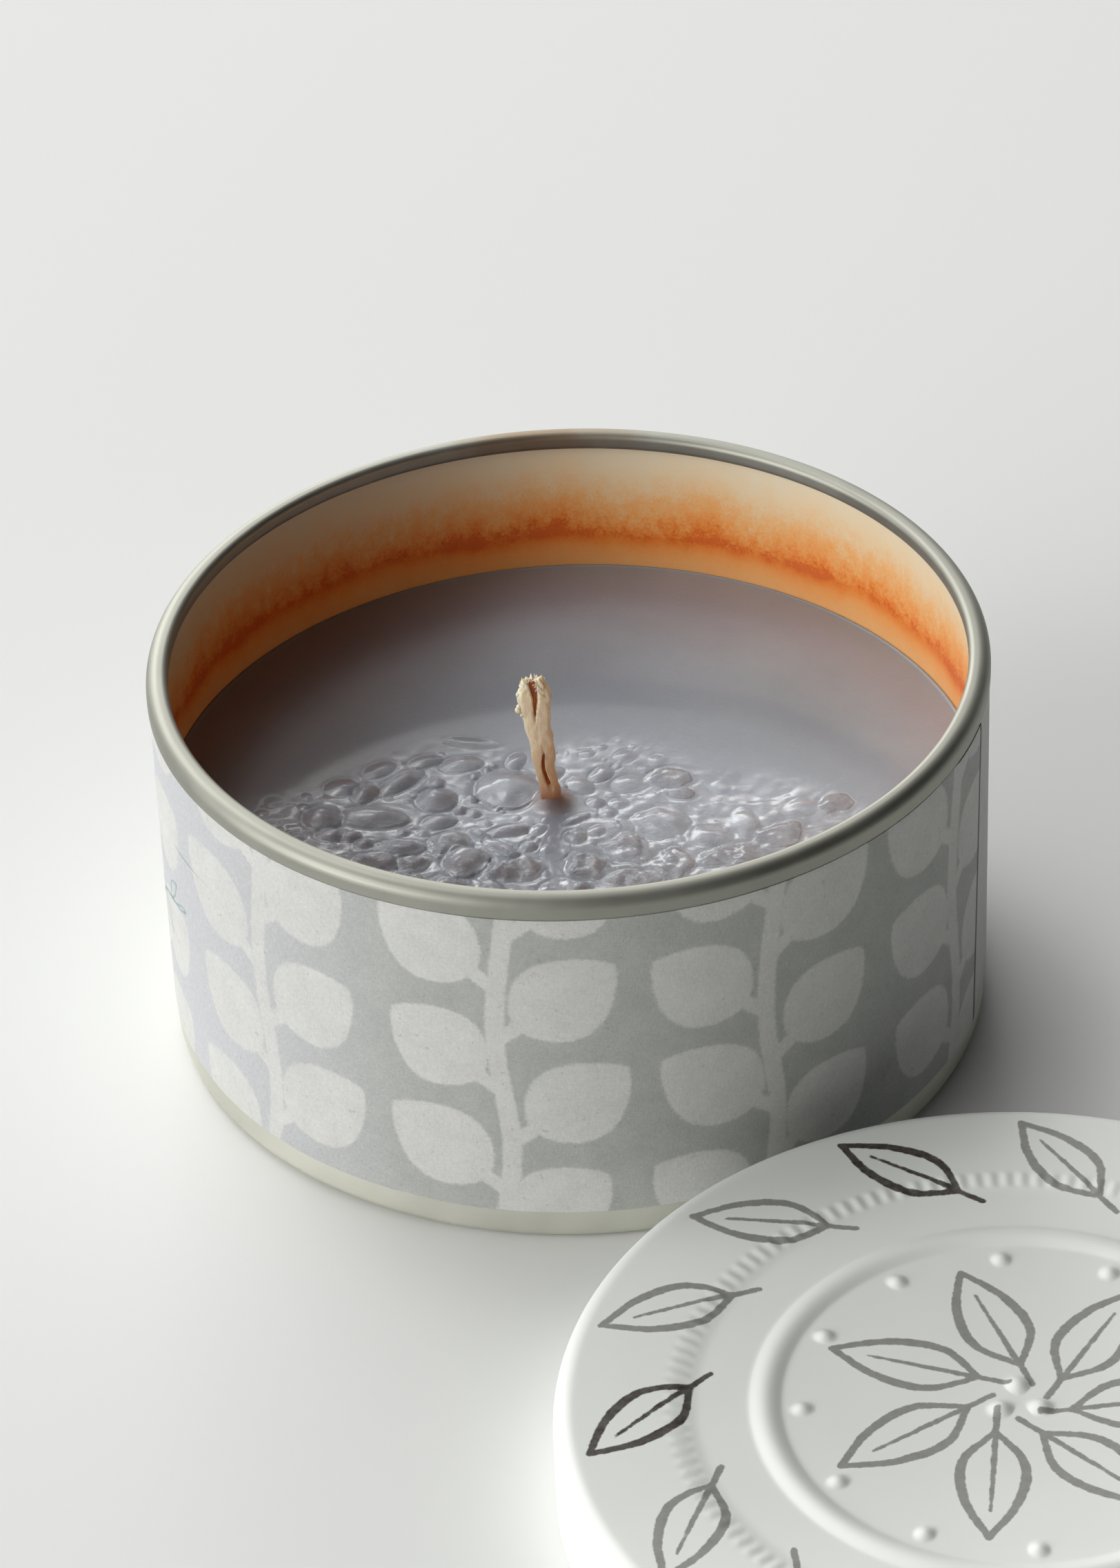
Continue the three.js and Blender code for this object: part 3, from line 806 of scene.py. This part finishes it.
def wax_relief(x, y):
    """Height of the wax over its level, and how creased it is there."""
    rng = np.random.default_rng(11)
    share = blistered_share(x, y)
    wave = [value_noise(x, y, cell, rng) for cell in (2.3, 2.3, 1.0, 1.0, 0.5, 0.9, 4.5)]
    height, creased = np.zeros_like(x), np.zeros_like(x)
    for lx, ly, along, across, tilt, rise, rough in LUMPS + scattered_lumps(rng):
        reach = 1.5 * max(along, across) + 0.6
        near = (np.abs(x - lx) < reach) & (np.abs(y - ly) < reach)
        bend = (0.04 + 0.38 * rough) * min(along, across)
        dx = x[near] - lx + bend * (wave[0][near] + 0.5 * wave[2][near])
        dy = y[near] - ly + bend * (wave[1][near] + 0.5 * wave[3][near])
        c, s = math.cos(math.radians(tilt)), math.sin(math.radians(tilt))
        d = np.hypot((dx * c + dy * s) / along, (dy * c - dx * s) / across)
        dome = (1 - (d / 1.12) ** 2).clip(0) ** 1.45
        ragged = rough * (0.22 * wave[4][near] + 0.24 * wave[5][near])
        slab = smoothstep(1.05, 0.45, d) * (1 + 0.25 * dy / across + ragged)
        body = rise * (dome * (1 - rough) + slab * rough)
        moat = 0.2 * rise * np.exp(-((d - 1.2) / 0.17) ** 2)
        height[near] = np.where(body > 0, np.maximum(height[near], body), height[near] - moat)
        creased[near] = np.maximum(creased[near], rough * smoothstep(1.15, 0.8, d))
    lower = 1 - 0.64 * smoothstep(-4, 9, x)
    height = 0.76 * lower * height * (0.12 + 0.88 * share) + share * (0.1 * wave[6] + 0.05 * wave[5])
    streak = np.exp(-((x - WICK_FOOT[0] - 0.3) / 1.6) ** 2) * smoothstep(0, -3, y - WICK_FOOT[1])
    height, creased = height * (1 - 0.88 * streak), creased * (1 - 0.8 * streak)
    foot = np.hypot(x - WICK_FOOT[0], y - WICK_FOOT[1])
    radius, rise = MOUND
    height = height * smoothstep(0.8, 2.6, foot) + rise * np.exp(-((foot / radius) ** 2))
    return height, np.maximum(creased, (0.5 + 0.24 * smoothstep(-4, -13, y)) * share * (1 - 0.5 * streak))


def make_wax():
    wall = wall_radius(WAX_LEVEL) - SHEET - FIT_GAP
    under = offset_path(tin_middle(WAX_LEVEL), HALF_SHEET + FIT_GAP)
    under = finer(under, 3.0)[:-1]
    creep = np.array([[wall, WAX_LEVEL - 0.4], [wall, WAX_LEVEL + 0.08], [wall - 0.06, WAX_LEVEL + 0.1]])
    shore = arc(wall - 0.5, WAX_LEVEL + 0.45, 0.45, -45, -90, 4)
    top = np.arange(wall - 1.2, 0.05, -WAX_STEP)
    profile = joined(under, creep, shore, np.column_stack([top, np.full(len(top), WAX_LEVEL)]),
                     [0, WAX_LEVEL])
    profile[:, 0] = profile[:, 0].clip(0)
    rings = turned(profile, WAX_COLUMNS)
    x, y = rings[..., 0], rings[..., 1]
    upper = len(under) + 1
    relief, creased = wax_relief(x[upper:], y[upper:])
    inshore = smoothstep(wall - 0.2, wall - 2.2, np.hypot(x[upper:], y[upper:]))
    rings[upper:, :, 2] += relief * inshore
    rings[-1, :, 2] = rings[-1, :, 2].mean()
    lumpy = np.zeros(rings.shape[:2])
    lumpy[upper:] = creased
    piece = loft("wax_pool", rings, [wax_material()], values={"lumpy": lumpy}, sharp=80)
    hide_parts("wax_fill")
    return piece


# ---------------------------------------------------------------- the wick

# Heights over the wax, the braid's middle there as (x, y) from its foot, half width, half thickness
WICK_STATIONS = [
    (-21.9, 0.0, 0.0, 1.05, 0.65), (-12.0, 0.0, 0.0, 1.05, 0.65), (-2.0, 0.0, 0.0, 1.05, 0.68),
    (0.0, -0.05, 0.0, 1.0, 0.75), (1.8, -0.1, 0.0, 0.96, 0.7), (4.0, -0.5, 0.0, 0.95, 0.66),
    (6.2, -0.62, 0.0, 1.14, 0.64), (7.6, -0.75, 0.0, 1.14, 0.62), (8.8, -0.98, 0.0, 1.2, 0.6),
    (10.4, -1.12, 0.0, 1.36, 0.6), (11.6, -1.22, 0.0, 1.52, 0.62), (12.6, -1.3, 0.0, 1.52, 0.62),
    (13.5, -1.36, 0.0, 1.22, 0.6), (14.35, -1.36, 0.0, 0.8, 0.5),
]
WICK_TIP = 14.35
THREADS = 34                      # loose ones at its top
# Slits in the braid's front that show the core: height over the wax from and to, half width there
SLITS = [(2.0, 6.3, 0.25, 0.12), (9.9, 15.0, 0.08, 0.52)]


def wick_frame(level):
    """Middle, half width and half thickness of the braid at heights over the wax."""
    table = np.array(WICK_STATIONS)
    smooth = spline(table, 400)
    return [np.interp(level, smooth[:, 0], smooth[:, k]) for k in range(1, 5)]


def make_braid():
    level = np.linspace(wick_low[2] - WAX_LEVEL, WICK_TIP, BRAID_RINGS)
    x, y, wide, thick = (v[:, None] for v in wick_frame(level))
    angle = np.arange(BRAID_SIDES)[None] * TURN / BRAID_SIDES
    rng = np.random.default_rng(5)
    s, a = np.broadcast_arrays(level[:, None], angle)
    strands = np.abs(np.sin(3 * a + 1.9 * s)) ** 0.7 + np.abs(np.sin(3 * a - 1.9 * s)) ** 0.7
    waxed = value_noise(s * 0.9 + 40, a * 2.4, 1.0, rng) + 0.5 * value_noise(s * 2.4 + 40, a * 6, 1.0, rng)
    free = smoothstep(-1, 2, s)
    swell = 1 + free * (0.045 * (strands - 1.2) + 0.075 * waxed)
    px, py = np.sin(a), -np.cos(a)
    flat = np.sign(py) * np.abs(py) ** 0.75
    depth = np.zeros_like(s)
    for start, end, first, last in SLITS:
        along = smoothstep(start - 0.3, start + 0.8, s) * (1 - smoothstep(end - 0.8, end + 0.3, s))
        half = (first + (last - first) * (s - start) / (end - start)) / wide
        sway = 0.10 * np.sin(s * 1.1)
        depth = np.maximum(depth, along * (1 - smoothstep(0.55, 1.25, np.abs(px - sway) / half)) * (py < 0))
    fray = smoothstep(11.0, 14.2, s)
    ragged = fray * (0.16 * value_noise(s * 2.2, a * 4.5 + 9, 1.0, rng)
                     + 0.10 * value_noise(s * 5, a * 11 + 3, 1.0, rng))
    width, thickness = wide * (swell + ragged), thick * (swell + ragged * 0.6)
    rings = np.stack([WICK_FOOT[0] + x + width * px,
                      WICK_FOOT[1] + y + thickness * flat * (1 - 0.86 * depth),
                      WAX_LEVEL + s], axis=-1)
    lift = fray * (0.42 * value_noise(np.zeros_like(a), a * 3.1 + 2, 1.0, rng)
                   + 0.35 * value_noise(np.zeros_like(a), a * 8.0, 1.0, rng))
    rings[..., 2] += lift * smoothstep(12.6, 14.3, s)
    middle = np.array([WICK_FOOT[0] + x[-1, 0], WICK_FOOT[1] + y[-1, 0]])
    caps = []
    for share in (0.75, 0.45, 0.0):
        cap = rings[-1].copy()
        cap[:, :2] = middle + (cap[:, :2] - middle) * share
        cap[:, 2] = cap[:, 2] * (0.4 + 0.6 * share) + rings[-1, :, 2].mean() * (0.6 - 0.6 * share)
        cap[:, 2] -= 0.35 * (1 - share)
        caps.append(cap[None])
    rings = np.concatenate([pole(rings[0]), rings, *caps])
    piece = loft("wick_plait", rings, [cotton_material()], sharp=60)
    add_tufts(piece, middle)
    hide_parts("wick_braid")
    return piece


def tapered_fibre(start, end, bend, radius, name, material):
    """A thin bent fibre from start to end."""
    path = spline([start, (start + end) / 2 + bend, end], FIBRE_POINTS)
    angle = np.arange(FIBRE_SIDES) * TURN / FIBRE_SIDES
    girth = radius * (1 - 0.75 * np.linspace(0, 1, len(path)))
    ring = np.stack([np.cos(angle), np.sin(angle), np.zeros(FIBRE_SIDES)], axis=-1)
    rings = path[:, None, :] + girth[:, None, None] * ring[None]
    ends = [np.repeat(path[i][None], FIBRE_SIDES, axis=0)[None] for i in (0, -1)]
    return loft(name, np.concatenate([ends[0], rings, ends[1]]), [material])


def add_tufts(braid, middle):
    """Loose threads and drops of wax at the wick's frayed top, joined into the braid's mesh."""
    rng = np.random.default_rng(8)
    material = braid.data.materials[0]
    extra = []
    for k in range(THREADS):
        angle = rng.uniform(0, TURN)
        reach = rng.uniform(0.3, 1.0)
        foot = np.array([middle[0] + 0.95 * reach * math.sin(angle),
                         middle[1] - 0.45 * reach * math.cos(angle), WAX_LEVEL + rng.uniform(12.8, 13.9)])
        lean = np.array([math.sin(angle) * 0.5, -math.cos(angle) * 0.3, 0])
        tip = foot + lean * rng.uniform(0.2, 1.1) + np.array([0, 0, rng.uniform(0.35, 1.0)])
        bend = rng.uniform(-0.12, 0.12, 3)
        extra.append(tapered_fibre(foot, tip, bend, rng.uniform(0.05, 0.13), f"thread_{k}", material))
    drops = [(-2.78, -0.1, 11.0, 0.34), (-2.72, -0.15, 11.4, 0.26), (-2.74, 0.0, 12.7, 0.24),
             (0.12, -0.1, 12.0, 0.2), (-2.46, -0.25, 10.5, 0.2)]
    for k, (dx, dy, level, radius) in enumerate(drops):
        profile = arc(0, WAX_LEVEL + level, radius, -90, 90, 10)
        profile[:, 0] = profile[:, 0].clip(0)
        profile[[0, -1], 0] = 0
        centre = (WICK_FOOT[0] + dx, WICK_FOOT[1] + dy)
        extra.append(loft(f"drop_{k}", turned(profile, 16, centre), [material]))
    bpy.ops.object.select_all(action="DESELECT")
    for piece in [braid, *extra]:
        piece.select_set(True)
    bpy.context.view_layer.objects.active = braid
    bpy.ops.object.join()


def make_core():
    level = np.linspace(wick_low[2] - WAX_LEVEL, WICK_TIP - 0.1, CORE_RINGS)
    x, y, wide, thick = (v[:, None] for v in wick_frame(level))
    angle = np.arange(CORE_SIDES)[None] * TURN / CORE_SIDES
    s, a = np.broadcast_arrays(level[:, None], angle)
    rng = np.random.default_rng(21)
    uneven = 1 + 0.12 * value_noise(s * 2 + 40, a * 3, 1.0, rng)
    half = 0.3 + 0.16 * smoothstep(10, 14, s)
    rings = np.stack([WICK_FOOT[0] + x + half * uneven * np.sin(a),
                      WICK_FOOT[1] + y - 0.30 * uneven * np.cos(a), WAX_LEVEL + s], axis=-1)
    piece = loft("wick_heart", np.concatenate([pole(rings[0]), rings, pole(rings[-1])]), [core_material()])
    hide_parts("wick_core")
    return piece


def make_sustainer():
    bottom, top = steel_low[2], steel_high[2]
    radius, plate = (steel_high[0] - steel_low[0]) / 2, 0.25
    outline = rounded([
        [1.6, bottom + 2], [1.6, bottom], [radius, bottom], [radius, bottom + plate], [2.3, bottom + plate],
        [1.9, bottom + plate + 0.4], [1.9, top], [1.6, top], [1.6, bottom + 2],
    ], 0.1)[:-1]
    rings = turned(finer(outline, 0.6), SUSTAINER_COLUMNS, WICK_FOOT)
    reach = np.hypot(rings[..., 0] - WICK_FOOT[0], rings[..., 1] - WICK_FOOT[1])
    spot = np.arctan2(rings[..., 0] - WICK_FOOT[0], -(rings[..., 1] - WICK_FOOT[1]))
    pinch = smoothstep(bottom + 2.5, bottom + 4, rings[..., 2])
    pinch = 1 - 0.12 * pinch * np.cos(2 * spot) ** 2 * (reach < 2)
    for k in (0, 1):
        rings[..., k] = WICK_FOOT[k] + (rings[..., k] - WICK_FOOT[k]) * pinch
    piece = loft("sustainer_disc", rings, [steel_material()], loop=True)
    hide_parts("wick_sustainer")
    return piece


def make_pad():
    radius = (pad_high[0] - pad_low[0]) / 2
    profile = rounded([[0, pad_low[2]], [radius, pad_low[2]], [radius, pad_high[2]], [0, pad_high[2]]], 0.15)
    piece = loft("foam_pad", turned(finer(profile, 1.5), SUSTAINER_COLUMNS, WICK_FOOT), [foam_material()])
    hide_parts("sustainer_pad")
    return piece


# ---------------------------------------------------------------- the lid

# Plain pointed leaves drawn on the lid in rings: how many, the azimuth of the first, the radius of
# the feet, how far each leaf turns from outwards, and its length
LEAF_RINGS = [(14, 6.0, 29.0, 50.0, 12.5), (7, 20.0, 4.6, 24.0, 13.5)]
INK_DARK, INK_PALE = 1.0, 0.72


def leaf_strokes():
    """Ink strength, half widths at the start, middle and end, and points, for each stroke."""
    strokes = []
    for count, first, radius, turn, length in LEAF_RINGS:
        for k in range(count):
            spot = math.radians(first + 360 * k / count)
            foot = radius * np.array([math.sin(spot), -math.cos(spot)])
            way = spot + math.radians(turn)
            along = np.array([math.sin(way), -math.cos(way)])
            across = np.array([math.cos(way), math.sin(way)])
            tone = INK_DARK if k % 3 == 1 and radius > LID_BEAD else INK_PALE
            for side in (0.2, -0.2):
                bow = [foot, foot + length * (0.3 * along + side * across),
                       foot + length * (0.66 * along + 0.85 * side * across), foot + length * along]
                strokes.append((tone, (0.26, 0.42, 0.28), bow))
            rib = [foot - 0.2 * length * along, foot + 0.3 * length * along, foot + 0.75 * length * along]
            strokes.append((tone, (0.28, 0.24, 0.14), rib))
    return strokes


# Raised dots pressed into the lid: x, y, radius
LID_DOTS = [(r * math.sin(math.radians(a)), r * math.cos(math.radians(a)), size)
            for r, size, first, count in ((19.0, 1.0, 0, 12), (2.0, 1.2, 0, 3))
            for a in np.arange(count) * 360 / count + first]


def lid_drawing(x, y):
    """Distance to the edge of the nearest stroke, and that stroke's strength, over the lid unrolled flat."""
    points = np.column_stack([x.ravel(), y.ravel()])
    ink, strength = np.full(len(points), FAR), np.full(len(points), 0.7)
    for tone, widths, corners in leaf_strokes():
        path = spline(corners, 7 * len(corners))
        half = 1.2 * np.interp(np.linspace(0, 2, len(path)), (0, 1, 2), widths)
        before = ink.copy()
        draw(ink, points, path, lambda p: stroke_distance(p, path, half), 1.2)
        strength[ink < before] = tone
    return ink.reshape(x.shape), strength.reshape(x.shape)


def make_lid():
    middle = finer(lid_middle(), 0.3)
    outside, inside = offset_path(middle, HALF_SHEET), offset_path(middle, -HALF_SHEET)
    for side in (outside, inside):
        side[:, 0] = side[:, 0].clip(0)
    inside = np.vstack([inside[::-1][:-1][::3], inside[:1]])          # coarser, as nothing is drawn there
    profile = np.vstack([outside, inside])
    columns = FLUTES * 6
    rings = turned(profile, columns)
    radius = np.hypot(rings[..., 0], rings[..., 1])
    azimuth = np.arange(columns)[None] * TURN / columns
    top = rings[..., 2] > 6
    window = smoothstep(LID_STEP_OUT - 2.0, LID_STEP_OUT - 1.4, radius)
    window = window * smoothstep(LID_STEP_OUT + 0.2, LID_STEP_OUT - 0.4, radius)
    rings[..., 2] += top * window * 0.055 * np.cos(FLUTES * azimuth)
    for dx, dy, size in LID_DOTS:
        d = np.hypot(rings[..., 0] - dx, rings[..., 1] - dy) / size
        rings[..., 2] += top * 0.42 * size * (1 - d ** 2).clip(0) ** 1.3
    run = np.concatenate([[0], np.cumsum(np.linalg.norm(np.diff(outside, axis=0), axis=1))])
    run = np.concatenate([run, np.full(len(inside), 200.0)])[:, None]
    ink, strength = np.full(rings.shape[:2], FAR), np.zeros(rings.shape[:2])
    shown = slice(0, len(outside))
    ink[shown], strength[shown] = lid_drawing(run[shown] * np.sin(azimuth), -run[shown] * np.cos(azimuth))
    rings[..., 0] += LID_CENTRE[0]
    rings[..., 1] += LID_CENTRE[1]
    slots = [0] * len(outside) + [1] * (len(inside) - 1)
    piece = loft("lid_cap", rings, [enamel_material(), lid_inside_material()], row_slots=slots,
                 values={"ink": ink, "strength": strength}, sharp=50)
    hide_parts("lid_shell")
    return piece


# ---------------------------------------------------------------- stage, light and camera

CAMERA_PLACE = (-1.228, -458.854, 351.511)
CAMERA_ELEVATION, CAMERA_ROLL = 35.5225, -2.3779          # degrees, looking towards +Y and down
CAMERA_LENS = 134.6


def make_camera():
    """Looks down on the tin from its front, from 58 cm away."""
    data = bpy.data.cameras.new("camera")
    data.sensor_fit, data.sensor_width, data.lens = "AUTO", 36, CAMERA_LENS
    data.clip_start, data.clip_end = 0.01, 10
    camera = bpy.data.objects.new("camera", data)
    bpy.context.scene.collection.objects.link(camera)
    tilt = Matrix.Rotation(math.radians(90 - CAMERA_ELEVATION), 4, "X")
    roll = Matrix.Rotation(math.radians(CAMERA_ROLL), 4, "Z")
    camera.matrix_world = Matrix.Translation(Vector(CAMERA_PLACE) * MM) @ tilt @ roll
    bpy.context.scene.camera = camera


def make_floor():
    mesh = bpy.data.meshes.new("floor")
    size = 3.0
    corners = [(-size, -size, 0), (size, -size, 0), (size, size, 0), (-size, size, 0)]
    mesh.from_pydata(corners, [], [(0, 1, 2, 3)])
    n = Nodes("floor_pale")
    place = n.place()
    tone = n.mix(n.noise(place, 0.004, 2, 0.5), rgb(225, 226, 224), rgb(229, 230, 228))
    mesh.materials.append(n.finish(Base_Color=tone, Roughness=0.55))
    floor = bpy.data.objects.new("floor", mesh)
    bpy.context.scene.collection.objects.link(floor)


# Soft lights round the room: azimuth, elevation, strength and tightness
LIGHTS = [
    (180, 10, 1.6, 12), (210, 10, 1.7, 12), (184, 26, 8.0, 170), (198, 26, 9.0, 170), (212, 26, 8.0, 170),
    (228, 41, 1.7, 20), (240, 62, 1.0, 12), (222, 64, 8.0, 130), (290, 28, 5.0, 50), (300, 10, 5.6, 12),
]
FILL = 0.02


def make_light():
    """A white studio whose large soft lights stand to the left and behind."""
    world = bpy.data.worlds.new("studio")
    bpy.context.scene.world = world
    world.use_nodes = True
    tree = world.node_tree
    spot = tree.nodes.new("ShaderNodeTexCoord").outputs["Generated"]

    def step(operation, a, b):
        node = tree.nodes.new("ShaderNodeMath")
        node.operation = operation
        for socket, value in zip(node.inputs, (a, b)):
            if isinstance(value, bpy.types.NodeSocket):
                tree.links.new(value, socket)
            else:
                socket.default_value = value
        return node.outputs[0]

    total = FILL
    for azimuth, elevation, strength, tightness in LIGHTS:
        turn, rise = math.radians(azimuth), math.radians(elevation)
        aim = tree.nodes.new("ShaderNodeVectorMath")
        aim.operation = "DOT_PRODUCT"
        aim.inputs[1].default_value = (math.sin(turn) * math.cos(rise), -math.cos(turn) * math.cos(rise),
                                       math.sin(rise))
        tree.links.new(spot, aim.inputs[0])
        off = step("SUBTRACT", aim.outputs["Value"], 1)
        lobe = step("EXPONENT", step("MULTIPLY", off, tightness), 0)
        total = step("ADD", step("MULTIPLY", lobe, strength), total)
    back = tree.nodes["Background"]
    tree.links.new(total, back.inputs["Strength"])
    back.inputs["Color"].default_value = (1.0, 1.0, 0.99, 1)
    bpy.context.scene.view_settings.view_transform = "Standard"


make_camera()
make_light()
make_floor()

for piece in (make_tin(), make_label(), make_sticker(), make_wax(), make_braid(), make_core(),
              make_sustainer(), make_pad()):
    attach(piece, "tin")
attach(make_lid(), "lid")
